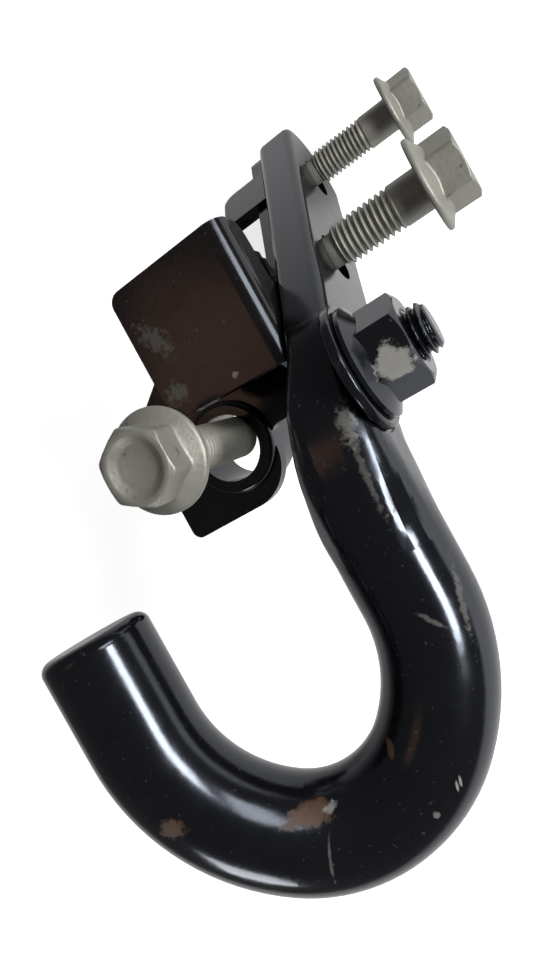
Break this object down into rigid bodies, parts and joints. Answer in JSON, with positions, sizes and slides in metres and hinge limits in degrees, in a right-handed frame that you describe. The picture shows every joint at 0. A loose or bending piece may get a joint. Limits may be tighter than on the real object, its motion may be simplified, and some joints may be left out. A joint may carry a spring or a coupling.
{
  "type": "tow hook bracket",
  "caption": "Forged round-bar tow hook with a flat, bent-back end welded to a folded sheet bracket, with a stud, nut and flange bolts for fixing it to a vehicle frame.",
  "frame": {"origin": "centre of the sleeve's hole, on the lower end of the sleeve, where it rests on the vehicle", "axes": "+X along the side bolts towards their heads, +Y along the straight shank from the hook's bend towards the flat end, +Z square to the seat plate and the bracket's front wall, towards the front bolt's head"},
  "size_m": [0.1329, 0.1928, 0.1403],
  "materials": {
    "black_paint": "gloss",
    "black_hardware": "satin",
    "zinc_flake": "matte"
  },
  "bodies": {
    "root": {"tow_hook": "black_paint", "mounting_bracket": "black_paint", "clamp_stud": "black_hardware", "clamp_washer": "black_hardware", "clamp_nut": "black_hardware", "upper_side_bolt": "zinc_flake", "lower_side_bolt": "zinc_flake", "front_bolt": "zinc_flake"}
  },
  "joints": []
}
